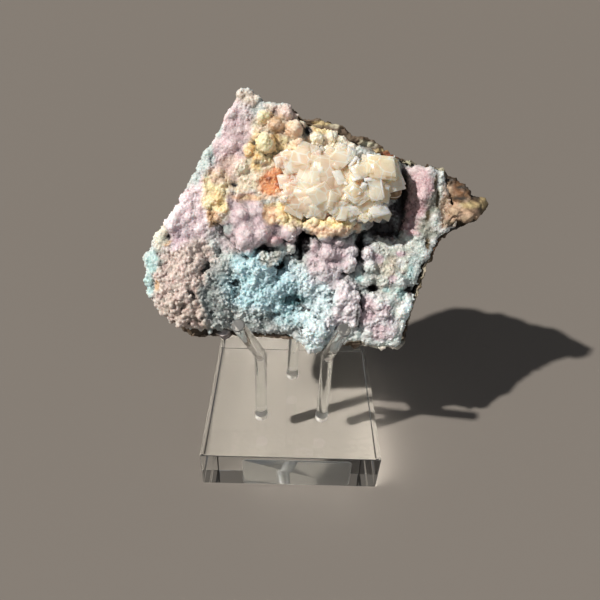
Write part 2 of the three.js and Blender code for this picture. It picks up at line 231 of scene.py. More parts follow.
# Each peg is one clear acrylic rod of 5 mm, heated and bent at its elbow, with its sawn end
# left matt and its foot standing in a socket of the block.
UP = Vector((0, 0, 1))
PEG_RADIUS = 2.5 * MM
ELBOW_HEIGHT = 55.4 * MM
PEG_SIDES = 40
BEND_RADIUS = 7 * MM
BEND_STEPS = 10
TIP_ROUND = 0.5 * MM
FOOT_GAP = 0.3 * MM


def make_peg(name, foot, tip):
    corner = Vector((foot.x, foot.y, ELBOW_HEIGHT))
    arm = (tip - corner).normalized()
    bend = arm.angle(UP)
    trim = BEND_RADIUS * math.tan(bend / 2)
    bottom = block_high.z - SOCKET_DEPTH + FOOT_GAP
    upright = ELBOW_HEIGHT - trim - bottom
    bpy.ops.mesh.primitive_cylinder_add(
        vertices=PEG_SIDES,
        radius=PEG_RADIUS,
        depth=upright,
        location=(foot.x, foot.y, bottom + upright / 2),
    )
    peg = bpy.context.object
    peg.name = name + "_rod"
    finish_mesh(peg)
    outward = Vector((arm.x, arm.y, 0)).normalized()
    bpy.context.tool_settings.mesh_select_mode = (False, False, True)
    peg.data.vertices.foreach_set("select", [False] * len(peg.data.vertices))
    peg.data.edges.foreach_set("select", [False] * len(peg.data.edges))
    for face in peg.data.polygons:
        face.select = face.normal.z > 0.9
    bpy.ops.object.mode_set(mode="EDIT")
    bpy.ops.mesh.spin(
        steps=BEND_STEPS,
        angle=bend,
        center=Vector((foot.x, foot.y, ELBOW_HEIGHT - trim)) + outward * BEND_RADIUS,
        axis=outward.cross(UP),
    )
    reach = (tip - corner).length - trim
    bpy.ops.mesh.extrude_region_move(TRANSFORM_OT_translate={"value": arm * reach})
    bpy.ops.mesh.bevel(offset=TIP_ROUND, segments=3, affect="EDGES")
    bpy.ops.mesh.select_all(action="SELECT")
    bpy.ops.mesh.remove_doubles(threshold=0.01 * MM)
    bpy.ops.mesh.normals_make_consistent(inside=False)
    bpy.ops.object.mode_set(mode="OBJECT")
    finish_mesh(peg)
    peg.data.materials.append(acrylic)
    peg.data.materials.append(sawn)
    for face in peg.data.polygons:
        at_tip = (face.center - tip).dot(arm) > -TIP_ROUND
        at_foot = face.normal.z < -0.98
        face.material_index = 1 if at_tip or at_foot else 0
    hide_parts(name)
    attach(peg, "root")


for peg_name, (peg_foot, peg_tip) in PEGS.items():
    make_peg(peg_name, peg_foot, peg_tip)

# The label is a clear plastic sticker with round corners and a pale cut edge, stuck on the
# block's front face and left blank.
LABEL_THICKNESS = 0.15 * MM
LABEL_CORNER = 2 * MM
LABEL_EDGE = 0.1 * MM
GLUE_THICKNESS = 0.02 * MM
label_low, label_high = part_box("label")
label_size = label_high - label_low
label_back = block_low.y - GLUE_THICKNESS
bpy.ops.mesh.primitive_plane_add(
    size=1,
    location=((label_low.x + label_high.x) / 2, label_back, (label_low.z + label_high.z) / 2),
    rotation=(math.pi / 2, 0, 0),
)
sticker = bpy.context.object
sticker.name = "blank_label"
sticker.scale = (label_size.x, label_size.z, 1)
finish_mesh(sticker)
bpy.ops.object.mode_set(mode="EDIT")
bpy.ops.mesh.select_all(action="SELECT")
bpy.ops.mesh.bevel(offset=LABEL_CORNER, segments=6, affect="VERTICES")
bpy.ops.mesh.select_all(action="SELECT")
bpy.ops.mesh.extrude_region_move(
    TRANSFORM_OT_translate={"value": (0, -LABEL_THICKNESS, 0)}
)
bpy.ops.mesh.bevel(offset=LABEL_EDGE, segments=2, affect="EDGES")
bpy.ops.mesh.select_all(action="SELECT")
bpy.ops.mesh.normals_make_consistent(inside=False)
bpy.ops.object.mode_set(mode="OBJECT")
finish_mesh(sticker)


def label_film():
    material, tree, shader = new_material("label_film")
    set_sockets(
        shader, {"Base Color": colour("#f0f3f2"), "Transmission Weight": 0.96, "IOR": 1.46}
    )
    grain = texture(tree, "Noise", Scale=900.0, Detail=3.0)
    matt = spread(tree, grain, "Fac", 0.0, 1.0, 0.03, 0.09)
    wire(tree, matt, "Result", shader, "Roughness")
    return material


sticker.data.materials.append(label_film())
sticker.data.materials.append(sawn)
for face in sticker.data.polygons:
    face.material_index = 0 if abs(face.normal.y) > 0.95 else 1
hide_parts("label")
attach(sticker, "root")

# The matrix is a slab of dark brown, limonite-stained rock, broken off the wall of the
# pocket: bare at its back, its underside and rims, with rounded bronze goethite at one tip.
LEAN = math.radians(28)
SLAB_V = Vector((0, math.sin(LEAN), math.cos(LEAN)))
SLAB_N = Vector((0, -math.cos(LEAN), math.sin(LEAN)))
SLAB_AXES = np.array([(1, 0, 0), tuple(SLAB_V), tuple(SLAB_N)])
BACK_OF_SLAB = 24.8
SLAB_ORIGIN = np.array(Vector((0, 11, 55.4)) + SLAB_N * BACK_OF_SLAB)


def into_slab(points):
    """Points in metres, as u, v and w in millimetres."""
    return (np.asarray(points) / MM - SLAB_ORIGIN) @ SLAB_AXES.T


def out_of_slab(points):
    return (np.asarray(points) @ SLAB_AXES + SLAB_ORIGIN) * MM


def vertices_of(mesh):
    flat = np.empty(len(mesh.vertices) * 3, np.float32)
    mesh.vertices.foreach_get("co", flat)
    return flat.reshape(-1, 3).astype(float)


def normals_of(mesh):
    flat = np.empty(len(mesh.vertices) * 3, np.float32)
    mesh.vertex_normals.foreach_get("vector", flat)
    return flat.reshape(-1, 3).astype(float)


def set_vertices(mesh, points):
    mesh.vertices.foreach_set("co", np.asarray(points, np.float32).ravel())
    mesh.update()


def waves(points, wavelength, seed, directions=9):
    """A smooth uneven field over points in mm, from about -1 to 1: crossed waves."""
    random = np.random.RandomState(seed)
    field = np.zeros(len(points))
    for _ in range(directions):
        way = random.normal(size=3)
        way /= np.linalg.norm(way)
        length = wavelength * random.uniform(0.7, 1.4)
        field += np.sin(points @ way * (2 * math.pi / length) + random.uniform(0, 2 * math.pi))
    return field * math.sqrt(2 / directions) / 1.6


def copy_of_node(node, name):
    """A new piece with a CAD node's mesh, its loose triangles merged."""
    mesh = frame["nodes"][node].data.copy()
    mesh.materials.clear()
    piece = bpy.data.objects.new(name, mesh)
    bpy.context.scene.collection.objects.link(piece)
    pick(piece)
    bpy.ops.object.mode_set(mode="EDIT")
    bpy.ops.mesh.select_all(action="SELECT")
    bpy.ops.mesh.remove_doubles(threshold=0.001 * MM)
    bpy.ops.object.mode_set(mode="OBJECT")
    return piece


def thin_to(piece, most_faces):
    faces = sum(len(face.vertices) - 2 for face in piece.data.polygons)
    if faces > most_faces:
        apply_modifier(piece, "DECIMATE", ratio=most_faces / faces)


def ball_template(subdivisions):
    bpy.ops.mesh.primitive_ico_sphere_add(subdivisions=subdivisions, radius=1)
    ball = bpy.context.object
    points = vertices_of(ball.data)
    faces = np.array([face.vertices[:] for face in ball.data.polygons])
    bpy.data.objects.remove(ball)
    return points, faces


def grow(piece, rows, subdivisions, seed, voxel):
    """Joins a ball for each row to the piece and makes them one skin."""
    random = np.random.RandomState(seed)
    points, faces = ball_template(subdivisions)
    stretch = random.uniform(0.85, 1.18, size=(len(rows), 1, 3))
    balls = rows[:, None, :3] + points[None] * stretch * rows[:, None, 3:4]
    first = (np.arange(len(rows)) * len(points))[:, None, None]
    corners = (faces[None] + first).reshape(-1, 3)
    mesh = bpy.data.meshes.new("balls")
    mesh.vertices.add(balls.shape[0] * balls.shape[1])
    set_vertices(mesh, out_of_slab(balls.reshape(-1, 3)))
    mesh.loops.add(corners.size)
    mesh.loops.foreach_set("vertex_index", corners.astype(np.int32).ravel())
    mesh.polygons.add(len(corners))
    mesh.polygons.foreach_set("loop_start", np.arange(0, corners.size, 3, dtype=np.int32))
    mesh.update(calc_edges=True)
    beads = bpy.data.objects.new("balls", mesh)
    bpy.context.scene.collection.objects.link(beads)
    pick(piece)
    beads.select_set(True)
    bpy.ops.object.join()
    apply_modifier(piece, "REMESH", mode="VOXEL", voxel_size=voxel)


# Colours of the rock and its crust, each by the name that a collector would give it, and
# some darker copies that are painted shade for hollows and shaded slopes
LAVENDER = "#cbb9be"
LILAC = "#d8c3c6"
MAUVE = "#bd9fa3"
PURPLE = "#d6c1ca"
TAN_PINK = "#cfbeb6"
BLUE = "#b6d6de"
ICE = "#d0e1e6"
# The blue crust darkened as painted shade
SHADED_TEAL = "#5f868c"
PALE_TEAL = "#b9c6c4"
GREY_WHITE = "#bcc3c1"
WHITE = "#dfe3df"
WHITE_LILAC = "#d6cfd4"
CREAM = "#f4e4cc"
DOME_YELLOW = "#ffdfae"
PALE_YELLOW = "#eedcb0"
YELLOW = "#ecd29d"
GOLD = "#edc98c"
PEACH = "#e3c09f"
TAN = "#c9a783"
ORANGE = "#f8ad7c"
RUST = "#a8603a"
BRONZE = "#57432e"
COPPER = "#8a6444"
BLACK_BROWN = "#33291f"
MATRIX_BROWN = "#6a5947"
OLIVE_BROWN = "#5e5138"
OLIVE_TAN = "#c9b78b"
OLIVE = "#94825a"
# Dark rock in the deepest hollows, darkened further as painted shade
HOLLOW_DARK_AND_SHADE = "#2e2629"
# A darker tan-pink, painted shade for the low left slope
SHADED_TAN_PINK = "#beada3"
SHADED_GREY = "#8f9796"
PINK_LILAC = "#c6b5bb"
SILVER = "#bcbfb8"
SILVER_TAN = "#c0b9aa"
TEAL_WHITE = "#b2d0cf"
GREEN_GREY = "#c8c6b2"
PALE_OLIVE = "#dbdbca"
APEX_CREAM = "#ccbeaf"
ROSY_CREAM = "#d5bbb0"
PINKISH_CREAM = "#c9b099"
PALE_LILAC = "#eddbe0"
DIM_GREY = "#94958b"
PATCH_BLUR = 0.35
WARP = 1.2
HUE_SWING = 0.035
# Painted shade and light: how bright the colour is by the height in mm over the wider and
# over the nearer surroundings, darker in hollows and seams and a little lighter on rises
SHADE_BY_HEIGHT = ([-3, -1.3, -0.3, 0.4, 1.2], [0.32, 0.56, 0.94, 1.03, 1.1])
SHADE_IN_SEAMS = ([-1.0, -0.4, 0, 0.5], [0.08, 0.4, 1.0, 1.08])


def relative_height(uvw, around, cell):
    """How far each point stands over the blurred surface around it, in mm."""
    low = around[:, :2].min(0) - 16 * cell
    index = ((around[:, :2] - low) / cell).astype(int)
    grid = np.full(index.max(0) + 17, -1e3)
    np.maximum.at(grid, (index[:, 0], index[:, 1]), around[:, 2])
    filled = np.where(grid < -100, -4, grid)
    for _ in range(3):
        for axis in (0, 1):
            filled = sum(np.roll(filled, step, axis) for step in range(-3, 4)) / 7
    index = ((uvw[:, :2] - low) / cell).astype(int)
    return uvw[:, 2] - filled[index[:, 0], index[:, 1]]


def paint(piece, patches, ground, frost_and_highlight_share, around):
    """Lays the patches of colour over the piece as the attribute that its material reads.

    Around are the points of the whole growth, which the heights are taken over. By these
    heights it paints shade into hollows and seams, a little light onto rises, and frost that
    is partly a painted highlight onto raised tips.
    """
    uvw = into_slab(vertices_of(piece.data))
    out = normals_of(piece.data) @ SLAB_AXES.T
    warp_u = WARP * waves(uvw, 7, 21) + 0.5 * waves(uvw, 1.9, 22)
    warp_v = WARP * waves(uvw, 7, 23) + 0.5 * waves(uvw, 1.9, 24)
    shade = np.tile(np.array(colour(ground)[:3]), (len(uvw), 1))
    for name, spots in patches:
        cover = np.zeros(len(uvw))
        for u, v, reach_u, reach_v in spots:
            scale = min(1, min(reach_u, reach_v) / 4)
            away = np.hypot(
                (uvw[:, 0] + warp_u * scale - u) / reach_u,
                (uvw[:, 1] + warp_v * scale - v) / reach_v,
            )
            cover = np.maximum(cover, np.clip((1 + PATCH_BLUR - away) / (2 * PATCH_BLUR), 0, 1))
        cover = (cover * cover * (3 - 2 * cover))[:, None]
        shade = shade * (1 - cover) + np.array(colour(name)[:3]) * cover
    front = np.clip(out[:, 2] * 2, 0, 1)
    height = relative_height(uvw, around, 0.5) * front
    seam = relative_height(uvw, around, 0.25) * front
    # Tone that differs at random, times painted shade in hollows and seams and painted light on rises
    tone_and_shade = 1 + 0.07 * waves(uvw, 2.4, 31) + 0.06 * waves(uvw, 0.9, 32)
    tone_and_shade *= np.interp(height, *SHADE_BY_HEIGHT) * np.interp(seam, *SHADE_IN_SEAMS)
    # Whitening of raised tips: frost of the druse, partly a painted highlight
    frost_and_highlight = frost_and_highlight_share * np.clip(0.25 * height + 0.15 * waves(uvw, 1.3, 33), 0, 0.22)[:, None]
    hue = HUE_SWING * waves(uvw, 2.6, 34)
    tones_and_shade = tone_and_shade[:, None] * np.column_stack([1 + hue, 1 - 0.4 * hue, 1 + 0.1 * hue])
    shade = np.clip(shade * tones_and_shade, 0, 1) * (1 - frost_and_highlight) + frost_and_highlight * 0.9
    layer = piece.data.color_attributes.new("mineral", "FLOAT_COLOR", "POINT")
    layer.data.foreach_set(
        "color", np.column_stack([shade, np.ones(len(shade))]).astype(np.float32).ravel()
    )


ROCK_VOXEL = 0.55 * MM
ROCK_FACES = 190000
# Rounded goethite at the tip and knobs along the rims: u, v, w, radius
ROCK_KNOBS = [
    (66, 49.5, -0.5, 4.4), (61, 54, -0.5, 4.0), (57.5, 57, -1.5, 3.4), (64, 45.6, 1.0, 2.4),
    (67.6, 46.6, 0.6, 2.1), (69.3, 50.5, -1.5, 2.8), (60.5, 47, 0.2, 3.4), (63.5, 51.5, 1.4, 2.6),
    (57.5, 43, -0.6, 2.6), (53.5, 62.5, -1, 1.8), (41, 64.5, -0.5, 1.6), (-28, -4.5, -5, 2.4),
    (31, -5.8, -1.5, 1.6), (35.5, -6.6, -1.4, 1.7), (39.5, -6.9, -1.4, 1.7), (43, -6.2, -1.6, 1.5),
    (6, 78, -2, 2.0), (14, 76, -2.2, 2.2), (22, 72.5, -2.4, 2.2), (29, 69.5, -2.6, 2.0),
]
rock = copy_of_node("matrix_rock", "limonite_matrix")
grow(rock, np.array(ROCK_KNOBS), 3, 2, ROCK_VOXEL)
rock_points = vertices_of(rock.data)
rock_uvw = into_slab(rock_points)
rock_out = normals_of(rock.data)
ledges = waves(rock_uvw * (1, 1, 2.2), 14, 3)
steps = np.abs(waves(rock_uvw * (1, 1, 1.6), 5, 4))
chips = np.abs(waves(rock_uvw, 2.3, 6))
grit = waves(rock_uvw, 1.1, 5)
broken = 0.5 * ledges - 0.9 * steps - 0.55 * chips + 0.12 * grit
at_back = np.clip(-2 * rock_out @ SLAB_AXES[2], 0, 1) * (rock_uvw[:, 2] < -18)
broken -= at_back * (1.7 * np.abs(waves(rock_uvw, 17, 7)) + 0.5 * steps)
behind = np.exp(-((rock_uvw[:, 0] / 6) ** 2)) * (rock_uvw[:, 2] < -18)
tip = np.exp(-(((rock_uvw[:, 0] - 64) / 9) ** 2) - ((rock_uvw[:, 1] - 51) / 8) ** 2)
along_tip = np.array([(0.75, -0.66, 0), (0.66, 0.75, 0), (0, 0, 1)])
ribs = waves(rock_uvw @ along_tip.T * (0.35, 1, 1), 3.4, 8)
broken = broken * (1 - 0.6 * tip) + 0.6 * tip * ribs
broken = np.where(broken > 0, broken * (1 - behind), broken)
set_vertices(rock.data, rock_points + rock_out * (broken * MM)[:, None])
thin_to(rock, ROCK_FACES)
rock.data.shade_smooth()
# Stains on the rock: u, v, reach along u, reach along v
STAINS = [
    (OLIVE_BROWN, [(-30, 55, 12, 9), (12, 15, 16, 8)]),
    (BRONZE, [(-36, 20, 8, 12), (8, 62, 12, 6), (30, 4, 10, 4)]),
    (BLACK_BROWN, [(-12, 34, 14, 5), (34, 38, 6, 12), (-30, -2, 9, 3)]),
    (OLIVE_BROWN, [(50, 20, 4, 30), (62, 50, 12, 11)]),
    (SILVER_TAN, [(46, 15, 2.5, 12), (49, 30, 2.5, 8)]),
    (WHITE, [(37, -7.2, 9, 2.8)]),
    (BRONZE, [(58, 57.5, 5, 3.6), (62, 54.5, 4, 3.4), (67, 52, 5, 3)]),
    (COPPER, [(59.5, 56, 2, 2.8), (54, 34, 1.5, 3), (63, 53.5, 1.4, 1.4)]),
    (PINKISH_CREAM, [
        (58, 48, 4.5, 4.4), (63.5, 46, 3.5, 2), (67.4, 46.2, 2.2, 1.8), (56, 53, 1.8, 5),
    ]),
    (BLACK_BROWN, [
        (56.5, 59.5, 2.2, 0.7), (61.5, 56.6, 3, 0.6), (60.5, 52.4, 2.4, 0.6), (66, 53.2, 2.4, 0.5),
    ]),
    (OLIVE_TAN, [(64.5, 49.8, 3.6, 1.3), (30, 69, 5, 1.0), (8, 78, 4, 0.8), (70, 51, 1.5, 2)]),
    (BLACK_BROWN, [(61, 40.6, 9, 2.0)]),
    (GREEN_GREY, [(53.5, 62.5, 2.2, 2.2), (41, 64.8, 2, 1.2), (12, 77.5, 2, 1), (25, 71.5, 3, 1)]),
    (RUST, [(33, 67.6, 4, 1.4)]),
    (WHITE_LILAC, [(-28, -5, 2.4, 2.4)]),
]
paint(rock, STAINS, MATRIX_BROWN, 0.2, into_slab(vertices_of(rock.data)))


def broken_limonite():
    material, tree, shader = new_material("broken_limonite")
    mineral = add_node(tree, "ShaderNodeAttribute", attribute_name="mineral")
    stain = texture(tree, "Noise", Scale=130.0, Detail=8.0, Roughness=0.7)
    stain_ramp = add_node(tree, "ShaderNodeValToRGB")
    ramp = stain_ramp.color_ramp
    ramp.elements[0].position = 0.36
    ramp.elements[0].color = colour("#85796a")
    ramp.elements[1].position = 0.68
    ramp.elements[1].color = colour("#ffffff")
    ramp.elements.new(0.52).color = colour("#cbbfac")
    stained = add_node(tree, "ShaderNodeMix", data_type="RGBA", blend_type="MULTIPLY")
    stained.inputs["Factor"].default_value = 0.65
    grain = texture(tree, "Noise", Scale=1100.0, Detail=5.0, Roughness=0.7)
    speckle = add_node(tree, "ShaderNodeMix", data_type="RGBA", blend_type="OVERLAY")
    speckle.inputs["Factor"].default_value = 0.6
    sheen = spread(tree, stain, "Fac", 0.35, 0.6, 0.32, 0.8)
    wire(tree, stain, "Fac", stain_ramp, "Fac")
    wire(tree, mineral, "Color", stained, "A")
    wire(tree, stain_ramp, "Color", stained, "B")
    wire(tree, stained, "Result", speckle, "A")
    wire(tree, grain, "Fac", speckle, "B")
    wire(tree, speckle, "Result", shader, "Base Color")
    wire(tree, sheen, "Result", shader, "Roughness")
    roughen(tree, shader, grain, "Fac", 0.8, 0.3 * MM)
    return material


rock.data.materials.append(broken_limonite())
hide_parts("matrix_rock")
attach(rock, "root")

# The crust is gibbsite that grew as rounded, botryoidal beads on the matrix: coral-like and
# blue low down, lavender and pink in the middle, yellow, peach and white around the calcite.
# It is one growth, kept as a left and a right piece that meet on a plane inside it.
CRUST_VOXEL = 0.29 * MM
LUMP_VOXEL = 0.5 * MM
CRUST_FACES = 198000
SUBSTRATE_VOXEL = 0.9 * MM
CRUST_BACK = -9
CRUST_SEAM = 1.5
PEG_CLEARANCE = 0.4
# Swells and hollows under the beads: u, v, reach along u, reach along v, rise
RELIEF = [
    (46, 54, 6.0, 11, 4.0), (33, 20, 7, 10, 0.8), (-45, 40, 8, 8, 1.2), (-20, 34, 8, 5, -2.2),
    (-14, 24, 9, 4.5, 2.0), (12, 39, 9, 4, 1.5), (-31, 50, 5, 8, 1.2), (-12, 60, 9, 7, 0.8),
    (-9, 75, 9, 5, 0.2), (-29, 12, 4, 10, 0.8), (57, 50, 5, 9, -2.0), (-9, 9, 6, 4, 1.0),
    (39.4, 55, 2.2, 12, -5.0), (32, 39.5, 8, 4.6, -6.5), (2.5, 34, 3.0, 6.0, -4.5),
    (24, 33, 1.7, 5, -3.0), (-6, 24.5, 2.2, 2.6, -1.4), (-16, 30.2, 4.6, 1.7, -3.6),
    (-30, 29, 2, 2, -3.0), (17.5, 22.5, 1.2, 2.8, -2.5), (30, 17, 3, 1.8, -3.5),
    (23.6, 7, 0.9, 6, -2.4), (-25, 17, 3, 3, -0.4), (-9, 5, 3.5, 1.6, 0.2), (44.3, 16, 1.2, 1.8, -3.0),
    (50, 35, 1.5, 3, -2.5), (51.6, 54, 0.9, 6, -2.2), (49.5, 46, 1.5, 3, -2.0),
    (-27, 37.5, 3.5, 2.6, -2.0), (-9, 67.5, 1.6, 2.2, 0.3), (2.5, 75, 1.6, 1.6, -2.5),
    (-36, 20, 1.0, 8, -2.0), (-1, 11, 5.5, 2.4, -2.0), (-49.5, 34, 0.9, 1.6, -3.0),
    (-24.5, 54.5, 1.4, 0.8, -2.0), (-34, 24, 2.5, 4, -1.5), (26, 24, 1.2, 4, -2.0),
]
# Habit of the growth by zone, later ones over earlier ones: u, v, reach along u, reach along
# v, then for the lumps their radius and how far one stands out as a share of it, and for the
# beads on them radius, standing out, and the share that carries another bead
HABITS = [
    (-44, 16, 14, 17, 2.2, -0.5, 0.72, 0.05, 0.08),
    (-42, 4, 14, 8, 2.4, -0.10, 1.0, 0.15, 0.15),
    (-30, 13, 5, 14, 1.6, 0.05, 0.6, 0.35, 0.5),
    (-9, 14, 18, 15, 1.9, -0.15, 0.48, 0.4, 0.6),
    (9, 13, 9, 10, 2.0, -0.4, 0.5, 0.35, 0.5),
    (8, 0, 7, 9, 2.2, -0.4, 0.55, 0.25, 0.4),
    (-16, 40, 15, 9.5, 2.2, -0.7, 0.5, -0.55, 0.0),
    (12, 28, 9.5, 10, 2.4, -0.35, 0.6, -0.2, 0.04),
    (20, 9, 5, 11, 2.0, -0.30, 0.85, -0.10, 0.0),
    (38, 18, 11, 24, 1.8, -0.65, 0.46, 0.05, 0.2),
    (31, 6, 6, 8, 1.9, -0.3, 0.75, 0.10, 0.10),
    (45, 53, 6, 12, 2.0, -0.85, 0.42, -0.3, 0.0),
    (54, 47, 6, 12, 1.6, -0.75, 0.48, -0.15, 0.05),
    (-27, 70, 7, 18, 1.9, -0.82, 0.42, -0.25, 0.04),
    (-8, 74, 13, 9, 1.5, -0.6, 0.5, -0.3, 0.03),
    (-15, 58, 11, 8, 1.5, -0.7, 0.42, -0.1, 0.1),
    (-45, 41, 10, 10, 2.2, -0.72, 0.45, -0.25, 0.03),
    (-31, 50, 5, 9, 1.9, -0.5, 0.6, -0.05, 0.05),
    (6, 41.5, 16, 3.5, 2.1, -0.30, 0.95, -0.20, 0.05),
]
PLAIN_HABIT = (1.8, -0.5, 0.5, 0.1, 0.1)
# Large smooth lumps: u, v, radius, and how far the middle is raised or sunk
LUMPS = [
    (-19, 35, 5.0, -2.6), (-24.5, 37.5, 3.0, -1.6), (-13.4, 36.5, 3.2, -1.3), (-9.0, 34.2, 2.6, -0.6),
    (-4, 37.5, 2.8, -1.0), (-1.5, 40.5, 2.4, -1.6), (-21, 42.5, 3.2, -2.8), (-15.5, 44.5, 3.0, -2.5),
    (-11, 43.5, 3.1, -2.2), (-27.5, 43, 3.3, -2.6), (-13.2, 28.3, 1.5, 1.7), (-10.3, 27, 1.4, 1.7),
    (-8, 28.8, 1.6, 1.6), (-3.5, 31.5, 2.0, 0.8), (-6.0, 32, 1.7, 0.8), (-17, 31, 2.2, -1.0),
    (-14, 79, 2.4, -0.8), (-9.6, 76, 2.8, -1.3), (-2.7, 75, 3.3, -1.4), (-13, 69.5, 3.0, -0.6),
    (-19, 67, 2.1, -0.7), (-16, 64, 1.9, -0.7), (-1, 70.6, 2.2, -1.0), (5, 72.5, 2.0, -0.8),
    (-6, 80, 2.6, -1.7), (-22, 61, 2.4, -1.6), (9, 75, 2.1, -1.0), (-17, 73, 2.2, -1.4),
    (-7, 44, 2.9, -1.8), (-3, 43.5, 2.6, -1.6), (1.5, 43.8, 2.4, -1.4), (6.5, 40.5, 2.9, -1.6),
    (11, 39.5, 3.1, -1.8), (15.5, 39.5, 2.7, -1.6), (19, 41.5, 2.2, -1.0), (22.5, 40.5, 1.8, 0.5),
    (26, 42, 1.6, 1.5), (7, 33, 2.8, -1.6), (12, 30, 2.3, -1.4), (21.2, 31.5, 1.5, 1.0),
    (20, 26.5, 1.6, 0.9), (27, 30, 1.6, 0.3), (28, 25.5, 1.5, 0.2), (27, 20, 1.4, 0.4),
    (19, 13, 3.0, -2.0), (21, 8.5, 2.6, -1.2), (18, 17, 2.1, -1.2), (22, 4, 2.3, -1.4),
    (8, 0, 3.8, -2.8), (5, 4, 2.8, -2.0), (12, 3, 2.8, -2.0), (9, -4.5, 2.8, -2.0),
]


def bvh_of(mesh):
    """A search tree in the slab's frame, in millimetres."""
    points = into_slab(vertices_of(mesh))
    faces = [tuple(face.vertices) for face in mesh.polygons]
    return BVHTree.FromPolygons([tuple(p) for p in points], faces)


def shape_relief(piece):
    """Raises the swells and sinks the hollows in the front of the piece."""
    points = into_slab(vertices_of(piece.data))
    out = normals_of(piece.data) @ SLAB_AXES.T
    front = np.clip(out[:, 2] * 2.5, 0, 1) * (points[:, 2] > CRUST_BACK + 2)
    for u, v, reach_u, reach_v, rise in RELIEF:
        away = ((points[:, 0] - u) / reach_u) ** 2 + ((points[:, 1] - v) / reach_v) ** 2
        points[:, 2] += front * rise * np.exp(-1.2 * away)
    points[:, 2] = np.where(front > 0, np.maximum(points[:, 2], CRUST_BACK + 2), points[:, 2])
    set_vertices(piece.data, out_of_slab(points))


substrate = copy_of_node("gibbsite_crust", "crust_substrate")
apply_modifier(substrate, "REMESH", mode="VOXEL", voxel_size=SUBSTRATE_VOXEL)
apply_modifier(substrate, "SMOOTH", factor=0.5, iterations=5)
shape_relief(substrate)
substrate_tree = bvh_of(substrate.data)
calcite_tree = bvh_of(copy_of_node("calcite_cluster", "calcite_form").data)


def peg_distance(points):
    """The distance in mm from points in the slab's frame to the nearest peg's axis."""
    nearest = np.full(len(points), 1e9)
    for foot, tip in PEGS.values():
        corner = Vector((foot.x, foot.y, ELBOW_HEIGHT))
        for start, end in ((foot, corner), (corner, tip)):
            a, b = into_slab([tuple(start), tuple(end)])
            way = b - a
            along = np.clip((points - a) @ way / (way @ way), 0, 1)
            away = np.linalg.norm(points - a - along[:, None] * way, axis=1)
            nearest = np.minimum(nearest, away)
    return nearest


def clear_of_pegs(rows):
    return rows[peg_distance(rows[:, :3]) > rows[:, 3] + PEG_RADIUS / MM + PEG_CLEARANCE]


def habits_at(spots):
    """The row of habit values at each spot, from the last zone that has it."""
    habits = np.tile(np.array(PLAIN_HABIT), (len(spots), 1))
    for at_u, at_v, reach_u, reach_v, *habit in HABITS:
        away = ((spots[:, 0] - at_u) / reach_u) ** 2 + ((spots[:, 1] - at_v) / reach_v) ** 2
        habits[away < 1] = habit
    return habits


def scatter(piece, tries, seed, column, spacing, branching):
    """Balls over the piece's front and sides, as rows of centre u, v, w and radius."""
    random = np.random.RandomState(seed)
    mesh = piece.data
    points = into_slab(vertices_of(mesh))
    mesh.calc_loop_triangles()
    corners = np.empty(len(mesh.loop_triangles) * 3, np.int32)
    mesh.loop_triangles.foreach_get("vertices", corners)
    a, b, c = points[corners.reshape(-1, 3).T]
    cross = np.cross(b - a, c - a)
    area = np.linalg.norm(cross, axis=1) / 2
    facing = cross / (2 * area[:, None] + 1e-12)
    usable = (facing[:, 2] > -0.3) & (((a + b + c) / 3)[:, 2] > CRUST_BACK + 0.6)
    weight = np.where(usable, area, 0)
    picked = random.choice(len(area), size=tries, p=weight / weight.sum())
    r1, r2 = np.sqrt(random.uniform(size=tries)), random.uniform(size=tries)
    spots = (
        a[picked] * (1 - r1)[:, None]
        + b[picked] * (r1 * (1 - r2))[:, None]
        + c[picked] * (r1 * r2)[:, None]
    )
    outward = facing[picked]
    habits = habits_at(spots)
    radii = habits[:, column] * random.uniform(0.7, 1.3, size=tries)
    cell = 2.6 * spacing * habits[:, column].max()
    keys = np.floor(spots / cell).astype(int)
    cells = {}
    balls = []
    for spot, out, habit, radius, key in zip(spots, outward, habits, radii, keys.tolist()):
        near = [
            ball
            for du in (-1, 0, 1) for dv in (-1, 0, 1) for dw in (-1, 0, 1)
            for ball in cells.get((key[0] + du, key[1] + dv, key[2] + dw), ())
        ]
        if near:
            others = np.array(near)
            gaps = np.sum((others[:, :3] - spot) ** 2, axis=1)
            if np.any(gaps < (spacing * (others[:, 3] + radius)) ** 2):
                continue
        if calcite_tree.ray_cast(Vector(spot) + Vector((0, 0, 0.5)), Vector((0, 0, 1)))[0]:
            continue
        cells.setdefault(tuple(key), []).append((*spot, radius))
        centre = spot + out * radius * habit[column + 1]
        balls.append((*centre, radius))
        branch = habit[column + 2] if branching else 0
        while random.uniform() < branch:
            lean = out + 0.75 * random.normal(size=3)
            centre = centre + lean / np.linalg.norm(lean) * radius * 1.15
            radius *= random.uniform(0.75, 0.95)
            balls.append((*centre, radius))
            branch *= 0.6
    return clear_of_pegs(np.array(balls))


def lump_rows():
    """The large lumps, each raised over or sunk into the substrate at its place."""
    rows = []
    for u, v, radius, lift in LUMPS:
        top = substrate_tree.ray_cast(Vector((u, v, 60)), Vector((0, 0, -1)))[0]
        if top is not None:
            rows.append((u, v, top.z + lift, radius))
    return clear_of_pegs(np.array(rows))


# The column of their habit, how many are tried, and how close they may come for their size
LUMP_COLUMN, LUMP_TRIES, LUMP_SPACING = 0, 9000, 0.62
BEAD_COLUMN, BEAD_TRIES, BEAD_SPACING = 2, 95000, 0.66
crust = substrate
grow(crust, lump_rows(), 4, 5, LUMP_VOXEL)
lumps = scatter(crust, LUMP_TRIES, 11, LUMP_COLUMN, LUMP_SPACING, False)
grow(crust, lumps, 3, 6, LUMP_VOXEL)
beads = scatter(crust, BEAD_TRIES, 12, BEAD_COLUMN, BEAD_SPACING, True)
grow(crust, beads, 2, 7, CRUST_VOXEL)

